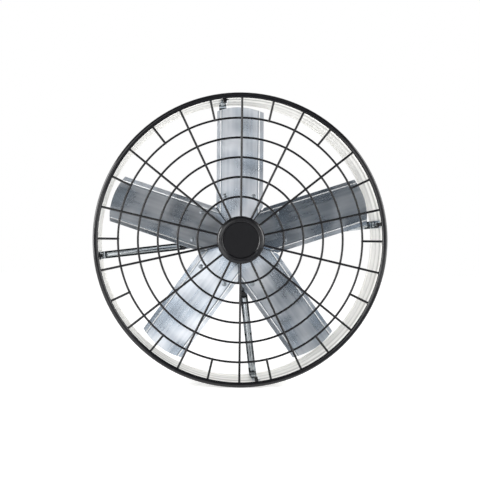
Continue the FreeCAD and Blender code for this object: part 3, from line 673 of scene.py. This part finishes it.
def area_lamp(name, place, facing, width, height, radiance, shows_in_gloss):
    """Soft rectangular lamp at a place, shining along a direction."""
    lamp = bpy.data.lights.new(name, "AREA")
    lamp.shape = "RECTANGLE"
    lamp.size = width
    lamp.size_y = height
    lamp.energy = radiance * math.pi * width * height
    holder = bpy.data.objects.new(name, lamp)
    holder.location = place
    holder.rotation_euler = facing.to_track_quat("-Z", "Y").to_euler()
    holder.visible_camera = False
    holder.visible_glossy = shows_in_gloss
    scene.collection.objects.link(holder)


def softbox(name, off_axis, around, width, height, radiance, shows_in_gloss=True):
    """Soft lamp that faces the fan."""
    direction = lamp_direction(off_axis, around)
    area_lamp(name, direction * lamp_distance, -direction, width, height, radiance, shows_in_gloss)


def low_lamp(name, middle_y, width, depth, radiance):
    """Soft lamp that lies on the floor, lights the top of the sleeve from below and shows in no gloss."""
    place = Vector((0.0, middle_y, low_lamp_level))
    area_lamp(name, place, Vector((0.0, 0.0, 1.0)), width, depth, radiance, False)


def studio_world():
    """White backdrop behind the fan, pale light off both ends of its axis, and a dim room in reflections."""
    world = bpy.data.worlds.new("studio")
    world.use_nodes = True
    # Glossy and matt surfaces are to see different surroundings, so none is sampled as a lamp
    world.cycles.sampling_method = "NONE"
    scene.world = world
    tree = world.node_tree
    tree.nodes.clear()
    path = add_node(tree, "LightPath", {})
    coords = add_node(tree, "TexCoord", {})
    direction = add_node(tree, "SeparateXYZ", {}, {0: coords.outputs["Generated"]})
    behind = add_node(
        tree, "MapRange", {"From Min": backdrop_start, "From Max": backdrop_full},
        {"Value": direction.outputs["Y"]},
    )
    endwise = add_node(tree, "Math", {"operation": "ABSOLUTE"}, {0: direction.outputs["Y"]})
    level = add_node(
        tree, "MapRange",
        {"From Min": ends_start, "From Max": ends_full, "To Min": side_ambient, "To Max": end_ambient},
        {"Value": endwise.outputs[0]},
    )
    mirrored = add_node(
        tree, "Math", {"operation": "ADD", "use_clamp": True},
        {0: path.outputs["Is Glossy Ray"], 1: path.outputs["Is Transmission Ray"]},
    )
    backdrop = add_node(
        tree, "Math", {"operation": "MULTIPLY"}, {0: behind.outputs["Result"], 1: mirrored.outputs[0]}
    )
    shown = add_node(
        tree, "Math", {"operation": "ADD", "use_clamp": True},
        {0: backdrop.outputs[0], 1: path.outputs["Is Camera Ray"]},
    )
    ambient = add_node(
        tree, "Background", {"Color": linear("#ffffff")}, {"Strength": level.outputs["Result"]}
    )
    room = add_node(tree, "Background", {"Color": linear("#e4edf5"), "Strength": room_strength})
    white = add_node(tree, "Background", {"Color": linear("#ffffff"), "Strength": 1.0})
    surroundings = add_node(
        tree, "MixShader", {}, {0: mirrored.outputs[0], 1: ambient.outputs[0], 2: room.outputs[0]}
    )
    seen = add_node(
        tree, "MixShader", {}, {0: shown.outputs[0], 1: surroundings.outputs[0], 2: white.outputs[0]}
    )
    add_node(tree, "OutputWorld", {}, {"Surface": seen.outputs[0]})


def studio_piece(name, shape, material):
    """Turn a bmesh into an object of the studio, which is attached to no body of the fan."""
    piece = new_object(name, shape, material)
    return piece


def rectangle(width, depth):
    """Level rectangle about the origin."""
    shape = bmesh.new()
    bmesh.ops.create_grid(shape, x_segments=1, y_segments=1, size=0.5)
    bmesh.ops.scale(shape, vec=(width, depth, 1.0), verts=shape.verts)
    return shape


def level_sheet(name, left, right, front, rear, level, material):
    """Level sheet of the studio between these sides."""
    sheet = rectangle(right - left, rear - front)
    middle = Vector(((left + right) / 2, (front + rear) / 2, level))
    bmesh.ops.translate(sheet, vec=middle, verts=sheet.verts)
    return studio_piece(name, sheet, material)


def show_in_reflections_only(piece):
    """Hide a piece of the studio from the camera and from matt surfaces, and let it cast no shadow."""
    piece.visible_camera = False
    piece.visible_diffuse = False
    piece.visible_shadow = False


def floor_paper():
    """White paper floor that glows for the camera and in reflections, but still takes the fan's shadow."""
    material, tree, shader = plain_material("white_paper_floor", {
        "Base Color": linear("#f4f4f4"),
        "Roughness": 1.0,
        "Specular IOR Level": 0.0,
        "Emission Color": linear("#ffffff"),
    })
    path = add_node(tree, "LightPath", {})
    mirrored = add_node(
        tree, "Math", {"operation": "ADD"},
        {0: path.outputs["Is Glossy Ray"], 1: path.outputs["Is Transmission Ray"]},
    )
    seen = add_node(
        tree, "Math", {"operation": "ADD", "use_clamp": True},
        {0: path.outputs["Is Camera Ray"], 1: mirrored.outputs[0]},
    )
    strength = add_node(tree, "Math", {"operation": "MULTIPLY", 1: floor_glow}, {0: seen.outputs[0]})
    link_inputs(tree, shader, {"Emission Strength": strength.outputs[0]})
    # The glow lights no matt surface, so the floor isn't sampled as a lamp
    material.cycles.emission_sampling = "NONE"
    return material


def matt_card(name, tone):
    """Matt card of one grey."""
    return plain_material(name, {"Base Color": linear(tone), "Roughness": 1.0})[0]


def reflection_card(name, left, right, front, rear, tone):
    """Card just above the floor, which gives the bare metal something darker than the floor to reflect."""
    show_in_reflections_only(level_sheet(name, left, right, front, rear, card_level, matt_card(name, tone)))


def bright_panel(radiance):
    """Evenly lit white panel."""
    material = plain_material("bright_panel", {
        "Base Color": linear("#000000"),
        "Emission Color": linear("#ffffff"),
        "Emission Strength": radiance,
    })[0]
    material.cycles.emission_sampling = "NONE"
    return material


def side_panel(name, off_axis, around, radiance):
    """Bright panel beside the fan, which puts a light edge on the black rim."""
    direction = lamp_direction(off_axis, around)
    sheet = rectangle(panel_width, panel_height)
    facing = (-direction).to_track_quat("Z", "Y").to_matrix()
    bmesh.ops.rotate(sheet, cent=(0, 0, 0), matrix=facing, verts=sheet.verts)
    bmesh.ops.translate(sheet, vec=direction * lamp_distance, verts=sheet.verts)
    show_in_reflections_only(studio_piece(name, sheet, bright_panel(radiance)))


def add_camera():
    """Camera with the photograph's frame: the rim as many pixels wide as it is there."""
    data = bpy.data.cameras.new("camera")
    data.sensor_width = sensor_width
    data.lens = rim_radius_px * camera_distance / rim_outer_r * sensor_width / photo_width_px
    camera = bpy.data.objects.new("camera", data)
    offset = Vector((math.sin(camera_yaw), -math.cos(camera_yaw), 0.0)) * camera_distance
    camera.location = camera_target + offset
    facing = (-offset).to_track_quat("-Z", "Y")
    camera.rotation_euler = (facing @ Quaternion((0.0, 0.0, 1.0), camera_roll)).to_euler()
    scene.collection.objects.link(camera)
    scene.camera = camera


# Finishes of the CAD nodes
black = black_powder_coat()
paint(black, *[name for name in nodes if name.startswith("grille")])
paint(moulded_abs("polished_black_abs", polish=0.2, shine=0.5), "grille_cap")
paint(blackened_steel(), "lug_screws", "cap_screws", "hub_set_screw", "strut_screws")
paint(white_enamel(), "casing_sleeve")
paint(galvanised_strip(), *[name for name in nodes if name.startswith("motor_strut")])
paint(
    zinc_plating(), "foot_rivets", "hub_washer", "hub_nut", "tie_bolts", "tie_nuts",
    "cover_screws", "box_screws",
)
paint(aluminium_rivet(), "blade_rivets")
paint(motor_paint(), "front_shield", "rear_shield")
paint(varnished_laminations(), "stator_core", "rotor_core")
paint(ground_steel(), "motor_shaft")
paint(cast_aluminium(), "hub_spider")
paint(enamelled_copper(), "stator_windings")
paint(bearing_steel(), "front_bearing", "rear_bearing")
paint(moulded_polyamide(), "terminal_box", "terminal_cover", "cable_gland")
paint(pale_thermoset(), "run_capacitor", "terminal_block")
for index in range(blade_count):
    paint(rolled_aluminium(first_blade_angle + index * 360 / blade_count), f"blade_{index + 1}")

# Pieces that are added to the CAD nodes or stand in for them
cap_plate()
grille_welds(black)
for name, width, body, finish_slot in (
    ("terminal_box", moulded_edge, "casing", "box_plastic"),
    ("terminal_cover", moulded_edge, "casing", "box_plastic"),
    ("cable_gland", head_edge, "casing", "box_plastic"),
    ("cover_screws", head_edge, "casing", "zinc_fastener"),
    ("lug_screws", head_edge, "casing", "black_fastener"),
    ("strut_screws", head_edge, "casing", "black_fastener"),
    ("tie_bolts", head_edge, "casing", "zinc_fastener"),
    ("tie_nuts", head_edge, "casing", "zinc_fastener"),
    ("hub_nut", head_edge, "rotor", "zinc_fastener"),
):
    softened(name, width, body)

# Studio: lamps, surroundings, floor, cards and panels
softbox("softbox_left_high", off_axis=36, around=150, width=1.9, height=1.2, radiance=1.55)
softbox("softbox_right", off_axis=32, around=2, width=1.9, height=1.3, radiance=0.97)
softbox("softbox_above", off_axis=40, around=80, width=0.9, height=0.7, radiance=0.55)
softbox("softbox_left_inner", off_axis=15, around=150, width=0.45, height=0.45, radiance=2.0)
softbox("fill_right", off_axis=50, around=6, width=1.2, height=1.2, radiance=1.4, shows_in_gloss=False)
softbox("fill_front", off_axis=0, around=0, width=3.6, height=3.6, radiance=1.8, shows_in_gloss=False)
low_lamp("low_front", middle_y=-0.8, width=0.6, depth=1.4, radiance=3.2)
studio_world()
level_sheet(
    "floor", -floor_half_width, floor_half_width, floor_front, floor_rear, floor_level, floor_paper()
)
reflection_card("card_front", left=-0.2, right=0.1, front=floor_front, rear=-0.3, tone="#303336")
reflection_card("card_right", left=0.1, right=0.9, front=floor_front, rear=-0.05, tone="#6c7074")
reflection_card("card_near", left=-0.2, right=0.1, front=-0.3, rear=-0.05, tone="#d8dbde")
side_panel("panel_left", off_axis=84, around=172, radiance=9.0)
side_panel("panel_right", off_axis=84, around=15, radiance=6.0)

add_camera()
